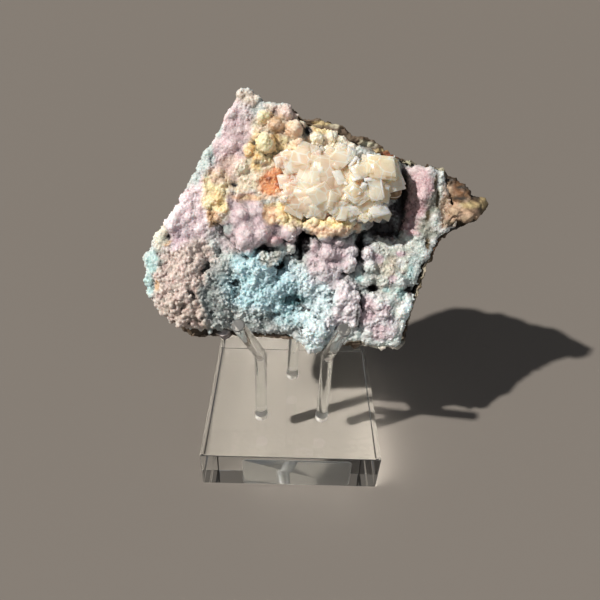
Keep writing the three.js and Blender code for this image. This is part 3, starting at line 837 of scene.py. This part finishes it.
# Patches of colour in the order they are laid on: u, v, reach along u, reach along v
PATCHES = [
    (LILAC, [(-27, 70, 9, 17), (-26, 58, 8, 6), (-44, 41, 11, 11), (-37, 47, 7, 8)]),
    (PALE_LILAC, [(-44, 41, 9, 9), (-37, 47, 6, 7)]),
    (TAN_PINK, [(-45, 19, 13, 13), (-39, 27, 7, 6)]),
    # Painted shade: the tan-pink is darker on the low left slope
    (SHADED_TAN_PINK, [(-42, 5, 14, 7)]),
    (SHADED_GREY, [(-30, 12, 6, 14), (-14, 0, 16, 4)]),
    (LAVENDER, [(-19, 38, 12, 9), (-6, 38, 8, 6), (-20, 45, 9, 5)]),
    (BLUE, [(-12, 17, 15, 11), (-18, 25, 8, 4), (-2, 12, 10, 10)]),
    (ICE, [(8, 14, 8, 9), (9, 0, 7, 9), (4, 20, 5, 4)]),
    (PINK_LILAC, [(12, 28, 9, 9)]),
    (WHITE_LILAC, [(14, 21, 5, 4), (20, 12, 5, 8), (18, 5, 5, 5), (24, 30, 6, 4)]),
    (PALE_TEAL, [(40, 20, 10, 20), (42, 4, 6, 10)]),
    (SILVER, [(38, 34, 8, 6), (34, 20, 5, 6)]),
    (WHITE, [(42, 8, 3.5, 10)]),
    (WHITE_LILAC, [(31, 6, 6, 9), (36, 2, 5, 5)]),
    (PINK_LILAC, [(28, 8, 3, 5), (33, 0, 3, 3)]),
    (SILVER_TAN, [(36.5, 26, 5, 4)]),
    (WHITE, [(33, 13, 1.8, 1.4), (40, 27, 1.5, 2), (36, 34, 2.2, 1.4), (43, 36, 1.4, 2)]),
    (PINK_LILAC, [(37, 21, 2, 1.6), (31, 29, 2, 2.4), (40, 31, 1.6, 1.4), (35, 9, 2, 1.4)]),
    (TEAL_WHITE, [(41, 15, 1.8, 2.2), (35, 17, 1.6, 1.2), (44, 24, 1.5, 2.4), (38, 38, 2, 1.4)]),
    (ICE, [(44, 8, 2, 5)]),
    (MAUVE, [(45.5, 53, 5.5, 11), (44, 42, 4, 4)]),
    # A dimmer grey at the right edge
    (DIM_GREY, [(52, 47, 4, 9), (50, 40, 4, 4)]),
    (WHITE, [(52.5, 43.5, 2.5, 3), (53, 54, 1.6, 3), (55, 40.5, 2, 1.4)]),
    (PINKISH_CREAM, [(57, 50, 3.5, 8), (57, 43.5, 4, 2.5)]),
    (BRONZE, [(58.5, 56.5, 3.5, 3.5)]),
    (OLIVE_BROWN, [(4, 78, 5, 1.8), (13, 76.2, 6, 2.2), (21, 73, 6, 2.3), (28, 70.4, 4, 2)]),
    (GREEN_GREY, [(7, 77.6, 1.6, 1), (16, 75.2, 2, 0.8), (25.5, 72, 1.0, 0.6)]),
    (CREAM, [(-13, 59, 11, 8), (-20, 55, 7, 4), (-3, 66, 10, 6), (10, 72, 10, 4)]),
    (CREAM, [(-8, 75, 11, 7)]),
    (ROSY_CREAM, [(-29, 59, 4.5, 4), (-27, 63, 4, 3), (-6, 81, 6, 3), (-21, 50, 6, 1.6)]),
    (PALE_YELLOW, [(-31, 50, 5, 8), (-12, 68, 8, 5), (-6, 45, 6, 4), (9, 41, 13, 3.5)]),
    (DOME_YELLOW, [(-14, 79, 2.8, 2.5), (-13, 69.5, 3.5, 3)]),
    (YELLOW, [(-31, 50, 2.5, 2.5), (-29, 46, 2.5, 2)]),
    (YELLOW, [(8, 42, 5, 1.6), (13, 41.5, 5, 1.5), (7, 76, 3.5, 2), (-7, 44.5, 3, 2.5)]),
    (YELLOW, [(1.5, 44, 3, 2), (18, 41, 2, 1.5), (-16.5, 61.5, 2, 2)]),
    (GOLD, [(-19, 67, 2.3, 2.8), (-16, 64, 1.8, 1.5), (-10, 72, 1.5, 2)]),
    (PEACH, [(-3, 75, 3.6, 3), (-11, 43.5, 2.6, 3.4), (12, 38.2, 5, 1.7), (6, 39, 2.5, 1.7)]),
    (PEACH, [(0, 70, 3, 1.5), (-19, 50, 5.5, 1.0), (16, 38.5, 3, 1.5), (22, 40, 1.8, 1.5)]),
    (PINKISH_CREAM, [(-30, 56, 2.6, 1.6)]),
    (TAN, [(-9.6, 76, 2.8, 2.7), (-32, 42, 2.5, 2.5)]),
    (ORANGE, [(-10.5, 56, 5.8, 4.2)]),
    (RUST, [(-11.5, 57, 1.2, 1.0), (-8, 55, 1.5, 0.8)]),
    (OLIVE_TAN, [(-9, 67, 1.8, 2.8)]),
    (OLIVE, [(-16, 62.8, 1.3, 0.8), (44, -3.5, 1.6, 2), (24, -5.5, 4, 1.2)]),
    # Painted shade of the blue crust in its pits and under the lavender lumps
    (SHADED_TEAL, [(-1, 11, 6, 2.5), (-14, 30.4, 3, 1.0), (-6, 25, 1.4, 1.8)]),
    (SILVER, [(-13.2, 28, 1.6, 2.4), (-10.3, 26.6, 1.4, 2.3), (-8, 28.6, 1.5, 2.2), (-3.5, 31.5, 2, 2)]),
    # Painted shade under the overhanging lavender lump
    (MAUVE, [(-9, 34.5, 2.4, 1.8)]),
    (TEAL_WHITE, [(-56, 25, 3.5, 4), (24, 21, 1.6, 1.6), (-57, 16, 2.5, 6)]),
    (TAN, [(-53, 16, 1.2, 2), (-50, 32, 2, 1)]),
    (PALE_OLIVE, [(-53, 35, 3, 5)]),
    (SHADED_GREY, [(-27, 38, 3, 2.4)]),
    (PURPLE, [(-46, 35, 3.6, 3), (-47, 31, 2, 2)]),
    (PALE_TEAL, [(-35, 66, 2.2, 9), (-39, 58, 2.2, 5), (-31, 75, 1.5, 4)]),
    (APEX_CREAM, [(-20, 86, 5, 3)]),
    # Painted shade in the hollows and in the pocket right of the calcite, over the dark rock that shows
    # there
    (HOLLOW_DARK_AND_SHADE, [(2.5, 34, 2.4, 5), (-49.5, 34, 0.8, 1.2), (-24.5, 54.5, 1.3, 0.7), (2.5, 75, 1.6, 1.6)]),
    (HOLLOW_DARK_AND_SHADE, [(24, 34, 1.4, 5), (30, 17, 2.0, 1.1), (44.3, 16, 1.2, 1.5)]),
    (OLIVE_BROWN, [(50.8, 57.5, 0.8, 3.4), (52.2, 52, 0.8, 3.6), (48.8, 45.4, 0.9, 2.2), (50, 35, 1, 2.4)]),
    (HOLLOW_DARK_AND_SHADE, [(33, 39.5, 7, 4), (39.6, 53, 1.8, 12), (37.5, 47, 2.4, 4), (23.6, 7, 0.5, 4)]),
]
crust_points = vertices_of(crust.data)
crust_uvw = into_slab(crust_points)
druse = 0.08 * waves(crust_uvw, 1.1, 41) + 0.06 * waves(crust_uvw, 0.7, 42)
set_vertices(crust.data, crust_points + normals_of(crust.data) * (druse * MM)[:, None])
crust_uvw = into_slab(vertices_of(crust.data))


def mend(piece):
    """Cuts out the few places where thinning folded the mesh, and closes the holes."""
    piece.data.validate()
    bpy.context.tool_settings.mesh_select_mode = (True, False, False)
    bpy.ops.object.mode_set(mode="EDIT")
    for _ in range(2):
        bpy.ops.mesh.select_all(action="DESELECT")
        bpy.ops.mesh.select_non_manifold()
        bpy.ops.mesh.delete(type="VERT")
        bpy.ops.mesh.select_all(action="SELECT")
        bpy.ops.mesh.fill_holes(sides=0)
    bpy.ops.object.mode_set(mode="OBJECT")
    piece.data.validate()


def side_of_crust(name, sign):
    """The part of the crust on one side of the seam, as a closed piece."""
    bpy.ops.mesh.primitive_cube_add(size=400 * MM, location=((CRUST_SEAM + 200 * sign) * MM, 0, 0))
    side = bpy.context.object
    piece = bpy.data.objects.new(name, crust.data.copy())
    bpy.context.scene.collection.objects.link(piece)
    apply_modifier(piece, "BOOLEAN", object=side, operation="INTERSECT", solver="MANIFOLD")
    bpy.data.objects.remove(side)
    thin_to(piece, CRUST_FACES)
    mend(piece)
    return piece


def waxy_gibbsite():
    material, tree, shader = new_material("waxy_gibbsite")
    mineral = add_node(tree, "ShaderNodeAttribute", attribute_name="mineral")
    druzy = texture(tree, "Voronoi", Scale=2200.0)
    grain = texture(tree, "Noise", Scale=1500.0, Detail=4.0, Roughness=0.7)
    speckle = add_node(tree, "ShaderNodeMix", data_type="RGBA", blend_type="SOFT_LIGHT")
    speckle.inputs["Factor"].default_value = 0.5
    relief = add_node(tree, "ShaderNodeMath", operation="ADD")
    wire(tree, mineral, "Color", speckle, "A")
    wire(tree, grain, "Fac", speckle, "B")
    wire(tree, speckle, "Result", shader, "Base Color")
    wire(tree, druzy, "Distance", relief, 0)
    wire(tree, grain, "Fac", relief, 1)
    roughen(tree, shader, relief, "Value", 0.55, 0.12 * MM)
    set_sockets(shader, {"Roughness": 0.5, "Subsurface Weight": 0.6})
    set_sockets(shader, {"Subsurface Radius": (1.0, 0.8, 0.7), "Subsurface Scale": 1.7 * MM})
    return material


gibbsite = waxy_gibbsite()
for side_name, side_sign in (("gibbsite_growth_left", -1), ("gibbsite_growth_right", 1)):
    growth = side_of_crust(side_name, side_sign)
    paint(growth, PATCHES, GREY_WHITE, 1, crust_uvw)
    growth.data.materials.clear()
    growth.data.materials.append(gibbsite)
    growth.data.polygons.foreach_set("material_index", [0] * len(growth.data.polygons))
    finish_mesh(growth, 75)
    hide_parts("gibbsite_crust")
    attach(growth, "root")
bpy.data.objects.remove(crust)

# The calcite is one cluster of blunt rhombs grown together on the crust: milky white on the
# left, clearer and cream on the right, with stepped cleavage faces and white healed cracks.
MILKY, CLEAR, HEALED, ROSY, SMOKY, SHADED_TAN = range(6)
# Large crystals: u, v, height of the top, length, width, depth, turn, how far the top looks
# to the right and up in degrees, and kind
CRYSTALS = [
    (-0.5, 64.0, 6.4, 11, 8.5, 8, 8, -7, 6, MILKY),
    (3.0, 68.0, 5.2, 8, 5.0, 6, -22, -4, 16, MILKY),
    (-6.0, 65.0, 4.4, 6, 5.0, 6, 24, -14, 4, ROSY),
    (0.5, 50.4, 7.0, 12, 8.0, 9, -14, -8, -8, MILKY),
    (5.5, 48.4, 7.6, 9, 6.5, 8, 12, -2, -14, MILKY),
    (4.0, 56.4, 7.4, 10, 7.5, 8, -28, -7, 1, MILKY),
    (9.2, 60.0, 8.4, 8.4, 12, 10, -6, 4, 4, MILKY),
    (9.0, 52.0, 8.9, 8.4, 9.0, 9, 30, 7, -7, MILKY),
    (13.8, 65.5, 7.8, 7.0, 6.5, 8, 48, 2, 12, MILKY),
    (15.4, 68.2, 6.4, 4.6, 4.5, 6, 60, 12, 16, MILKY),
    (18.6, 66.5, 7.0, 3.0, 5.4, 6, -20, 20, 6, HEALED),
    (13.2, 49.6, 8.6, 4.4, 7.0, 8, -18, 16, -8, CLEAR),
    (22.2, 61.6, 10.2, 6.6, 5.8, 9, 28, 6, 10, CLEAR),
    (19.0, 54.0, 11.4, 5.0, 5.0, 8, 37, -6, -6, SMOKY),
    (23.8, 53.8, 10.0, 5.4, 6.4, 9, 64, 12, -4, CLEAR),
    (24.4, 49.4, 9.6, 5.6, 5.0, 8, 40, 14, -16, SMOKY),
    (29.8, 62.6, 11.0, 10.0, 8.4, 10, -3, 4, 6, SMOKY),
    (33.6, 62.6, 9.6, 5.2, 6.4, 8, 8, 16, 6, CLEAR),
    (28.2, 55.2, 10.6, 5.4, 8.0, 10, 6, 2, -4, CLEAR),
    (31.8, 53.6, 9.4, 4.4, 6.6, 9, -12, 20, -8, SMOKY),
    (29.6, 47.2, 9.0, 7.0, 4.0, 5, 14, 6, 26, HEALED),
    (31.8, 45.4, 7.8, 5.6, 3.2, 4, -24, 16, -18, CLEAR),
    (20.4, 46.6, 7.8, 5.6, 3.6, 6, 8, -6, -18, HEALED),
    (16.2, 47.0, 7.4, 3.8, 4.4, 6, 30, -8, -14, HEALED),
    (8.4, 45.6, 5.4, 7.0, 3.8, 5, 3, -2, -16, MILKY),
    (1.5, 58.5, 6.2, 5.0, 5.4, 6, 22, -8, 4, ROSY),
    (14.4, 58.6, 9.0, 3.4, 5.4, 6, 18, 10, 6, HEALED),
    (25.0, 57.8, 10.9, 4.0, 1.3, 4, 5, 4, 6, HEALED),
    (29.4, 55.4, 11.2, 0.7, 8.0, 3, 2, 0, 0, HEALED),
    (17.8, 51.6, 11.0, 4.6, 0.7, 3, -46, 0, 0, HEALED),
    (18.8, 64.0, 9.2, 4.6, 0.9, 4, 52, 4, 0, HEALED),
    (20.4, 57.9, 10.9, 3.4, 0.8, 4, 24, 0, 0, HEALED),
    (31.5, 58.4, 10.9, 6.0, 0.7, 4, -8, 4, 0, HEALED),
]
# Zones of middle-sized crystals: u, v, reach along u, reach along v, how many, the size of
# one, its height as a share of the cluster's, turn, tilt, kinds
CRYSTAL_FIELDS = [
    (0, 62, 8, 7, 26, 5.4, 0.84, 12, 3, (MILKY, ROSY, MILKY)),
    (5, 50, 8, 5, 20, 6.0, 0.86, -16, 3, (MILKY, MILKY, MILKY)),
    (12, 60, 5, 8, 14, 5.6, 0.86, 34, 4, (MILKY, MILKY, CLEAR)),
    (27, 58, 9, 7, 18, 6.4, 0.86, 6, 5, (CLEAR, SMOKY, CLEAR)),
    (22, 49, 10, 4, 22, 4.4, 0.86, 38, 7, (CLEAR, CLEAR, SMOKY)),
    (13, 69, 15, 2.2, 34, 2.4, 0.95, 50, 12, (HEALED, MILKY, CLEAR)),
    (-4.5, 57, 3.0, 9, 34, 2.0, 0.95, -30, 8, (ROSY, MILKY, ROSY)),
    (14, 45, 18, 2.0, 44, 2.2, 0.95, 20, 12, (HEALED, MILKY, CLEAR)),
    (20, 57, 14, 10, 14, 1.6, 0.98, 70, 16, (HEALED, HEALED, HEALED)),
]
# The orange spot that no crystal covers
ORANGE_PLACE, ORANGE_REACH = (-10.5, 56), (6.5, 5)
# The round tan grain at the right, darkened with painted shade from the calcite beside it
GRAIN_PLACE, GRAIN_RADIUS = (34.6, 53.8, 5.0), 3.0
# The cluster's core under the crystals, as a share of the node's size about a point
CORE_MIDDLE, CORE_WIDTH, CORE_HEIGHT = (16, 56), (0.85, 0.92), 0.55
RHOMB_ANGLE = math.radians(102)
CHIP = 0.035
STEPS_ON_LARGE = 5
STEPS_ON_SMALL = 2


def crystal_material(name, pale, deep, cloud_size, clear, roughness):
    material, tree, shader = new_material(name)
    cloud = texture(tree, "Noise", Scale=cloud_size, Detail=6.0, Roughness=0.6)
    tint = add_node(tree, "ShaderNodeValToRGB")
    tint.color_ramp.elements[0].position = 0.38
    tint.color_ramp.elements[0].color = colour(deep)
    tint.color_ramp.elements[1].position = 0.62
    tint.color_ramp.elements[1].color = colour(pale)
    cracks = texture(tree, "Voronoi", feature="DISTANCE_TO_EDGE", Scale=210.0)
    healed = spread(tree, cracks, "Distance", 0.012, 0.05, 0.8, 0.0)
    whitened = add_node(tree, "ShaderNodeMix", data_type="RGBA")
    whitened.inputs["B"].default_value = colour("#fffaf0")
    veil = spread(tree, cloud, "Fac", 0.4, 0.62, clear, 0.3 * clear)
    steps = texture(tree, "Voronoi", Scale=520.0)
    grain = texture(tree, "Noise", Scale=800.0, Detail=6.0, Roughness=0.65)
    relief = add_node(tree, "ShaderNodeMath", operation="ADD")
    wire(tree, cloud, "Fac", tint, "Fac")
    wire(tree, healed, "Result", whitened, "Factor")
    wire(tree, tint, "Color", whitened, "A")
    wire(tree, whitened, "Result", shader, "Base Color")
    wire(tree, veil, "Result", shader, "Transmission Weight")
    wire(tree, steps, "Color", relief, 0)
    wire(tree, grain, "Fac", relief, 1)
    roughen(tree, shader, relief, "Value", 0.3, 0.14 * MM)
    set_sockets(shader, {"Roughness": roughness, "IOR": 1.6, "Subsurface Weight": 1.0})
    set_sockets(shader, {"Subsurface Radius": (1.0, 0.85, 0.65), "Subsurface Scale": 5.0 * MM})
    return material


calcite_kinds = [
    crystal_material("milky_calcite", "#fcebd7", "#f1dac0", 130.0, 0.12, 0.28),
    crystal_material("clear_calcite", "#fff3e1", "#f6e2c8", 170.0, 0.14, 0.22),
    crystal_material("healed_calcite", "#fffbf2", "#fcf0e0", 260.0, 0.05, 0.3),
    crystal_material("rosy_calcite", "#fae3d4", "#edcfbd", 330.0, 0.1, 0.32),
    crystal_material("smoky_calcite", "#fbe8cd", "#ecd6b4", 150.0, 0.14, 0.22),
    # Tan calcite darkened as painted shade, for the grain in the calcite's shadow
    crystal_material("shaded_tan_calcite", "#93795a", "#715a3f", 300.0, 0.1, 0.25),
]
bpy.ops.mesh.primitive_cube_add(size=1)
chipped_cube = bpy.context.object
for material in calcite_kinds:
    chipped_cube.data.materials.append(material)
apply_modifier(chipped_cube, "BEVEL", width=CHIP, segments=1)
cube_corners = vertices_of(chipped_cube.data)
cluster = bpy.data.collections.new("cluster")
bpy.context.scene.collection.children.link(cluster)
crystal_random = np.random.RandomState(8)


def add_rhomb(placed, centre, length, width, depth, kind):
    """One sheared block with chipped edges, its middle at a point of the placed frame."""
    crystal = bpy.data.objects.new("rhomb", chipped_cube.data.copy())
    crystal.data.polygons.foreach_set("material_index", [kind] * len(crystal.data.polygons))
    edges = np.array(
        [
            (length, 0, 0),
            (width * math.cos(RHOMB_ANGLE), width * math.sin(RHOMB_ANGLE), 0),
            (-0.2 * depth, -0.15 * depth, depth),
        ]
    )
    corners = cube_corners @ edges + centre
    corners = corners @ np.array(placed.to_3x3()).T + np.array(placed.translation)
    set_vertices(crystal.data, out_of_slab(corners))
    cluster.objects.link(crystal)


def grow_crystal(u, v, top, length, width, depth, turn, look_right, look_up, kind, steps):
    """A rhomb with smaller parallel ones stepping up from its top face."""
    placed = (
        Matrix.Translation((u, v, top))
        @ Matrix.Rotation(math.radians(look_right), 4, "Y")
        @ Matrix.Rotation(math.radians(-look_up), 4, "X")
        @ Matrix.Rotation(math.radians(turn), 4, "Z")
    )
    add_rhomb(placed, (0, 0, -depth / 2), length, width, depth, kind)
    for _ in range(steps):
        share = crystal_random.uniform(0.3, 0.8, size=2)
        shift = crystal_random.uniform(-0.62, 0.62, size=2) * (1 - share) * (length, width)
        rise = crystal_random.uniform(0.1, 0.5)
        slide = shift[1] * math.cos(RHOMB_ANGLE)
        centre = (shift[0] + slide, shift[1] * math.sin(RHOMB_ANGLE), rise - depth / 2)
        add_rhomb(placed, centre, share[0] * length, share[1] * width, depth, kind)


for row in CRYSTALS:
    grow_crystal(*row, STEPS_ON_LARGE)
for u, v, reach_u, reach_v, count, size, share, turn, tilt, kinds in CRYSTAL_FIELDS:
    for _ in range(count):
        angle, away = crystal_random.uniform(0, 2 * math.pi), math.sqrt(crystal_random.uniform())
        at_u = u + reach_u * away * math.cos(angle)
        at_v = v + reach_v * away * math.sin(angle)
        length = size * crystal_random.uniform(0.7, 1.4)
        top = calcite_tree.ray_cast(Vector((at_u, at_v, 60)), Vector((0, 0, -1)))[0]
        turned = turn + crystal_random.choice((0, 0, 90, 45)) + 7 * crystal_random.normal()
        looks = tilt * crystal_random.normal(size=2)
        from_orange = np.subtract((at_u, at_v), ORANGE_PLACE) / ORANGE_REACH
        if top is not None and np.hypot(*from_orange) >= 1:
            grow_crystal(
                at_u, at_v, top.z * share * crystal_random.uniform(0.92, 1.04), length,
                length * crystal_random.uniform(0.65, 1.0), length * 1.7, turned, *looks,
                kinds[crystal_random.randint(3)], STEPS_ON_SMALL,
            )
bpy.ops.mesh.primitive_ico_sphere_add(subdivisions=3, radius=GRAIN_RADIUS * MM)
round_grain = bpy.context.object
for material in calcite_kinds:
    round_grain.data.materials.append(material)
for face in round_grain.data.polygons:
    face.material_index = SHADED_TAN
set_vertices(round_grain.data, vertices_of(round_grain.data) + out_of_slab([GRAIN_PLACE]))
cluster.objects.link(round_grain)

calcite = bpy.data.objects["calcite_form"]
calcite.name = "calcite_rhombs"
for material in calcite_kinds:
    calcite.data.materials.append(material)
core = vertices_of(calcite.data)
sunk = into_slab(core)
sunk[:, 2] = np.where(sunk[:, 2] > 0, sunk[:, 2] * CORE_HEIGHT, sunk[:, 2])
sunk[:, :2] = (sunk[:, :2] - CORE_MIDDLE) * CORE_WIDTH + CORE_MIDDLE
set_vertices(calcite.data, out_of_slab(sunk))
apply_modifier(
    calcite, "BOOLEAN", operand_type="COLLECTION", collection=cluster, operation="UNION",
    solver="MANIFOLD", material_mode="TRANSFER",
)
for crystal in list(cluster.objects) + [chipped_cube]:
    bpy.data.objects.remove(crystal)
bpy.data.collections.remove(cluster)
finish_mesh(calcite, 20)
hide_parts("calcite_cluster")
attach(calcite, "root")

# Studio: a plain warm grey floor and backdrop, a low sun from the left, a weak fill from the
# right, and a dim grey surround. The sun passes the clear block and the sticker, as it would
# in the real thing, where they throw next to no shadow.
SUN_STRENGTH = 4.1
FILL_STRENGTH = 0.5
SURROUND_STRENGTH = 0.34
bpy.ops.mesh.primitive_plane_add(size=4, location=(0, 0, -0.3 * MM))
floor = bpy.context.object
floor.name = "studio_floor"
floor_material, _, floor_shader = new_material("warm_grey_paper")
floor_shader.inputs["Base Color"].default_value = colour("#7f7973")
floor_shader.inputs["Roughness"].default_value = 0.9
floor.data.materials.append(floor_material)

bpy.ops.mesh.primitive_plane_add(size=4, location=(0, 1.95, 1.9), rotation=(math.pi / 2, 0, 0))
backdrop = bpy.context.object
backdrop.name = "studio_backdrop"
backdrop.data.materials.append(floor_material)

bpy.ops.object.light_add(type="SUN")
low_sun = bpy.context.object
low_sun.name = "low_sun"
low_sun.rotation_euler = Vector((0.656, 0.265, -0.707)).to_track_quat("-Z", "Y").to_euler()
low_sun.data.energy = SUN_STRENGTH
low_sun.data.angle = math.radians(1.5)
low_sun.data.color = (1.0, 0.95, 0.88)
passes_light = bpy.data.collections.new("passes_light")
passes_light.objects.link(block)
passes_light.objects.link(sticker)
low_sun.light_linking.blocker_collection = passes_light
for link in passes_light.collection_objects:
    link.light_linking.link_state = "EXCLUDE"

bpy.ops.object.light_add(type="AREA", location=Vector((350, -500, 420)) * MM)
fill = bpy.context.object
fill.name = "room_fill"
fill.rotation_euler = Vector((-350, 500, -360)).to_track_quat("-Z", "Y").to_euler()
fill.data.shape = "DISK"
fill.data.size = 0.5
fill.data.energy = FILL_STRENGTH
fill.data.color = (0.9, 0.95, 1.0)
world = bpy.data.worlds.new("surround")
world.use_nodes = True
world.node_tree.nodes["Background"].inputs["Color"].default_value = colour("#8c8f94")
world.node_tree.nodes["Background"].inputs["Strength"].default_value = SURROUND_STRENGTH
bpy.context.scene.world = world
bpy.context.scene.view_settings.view_transform = "Standard"
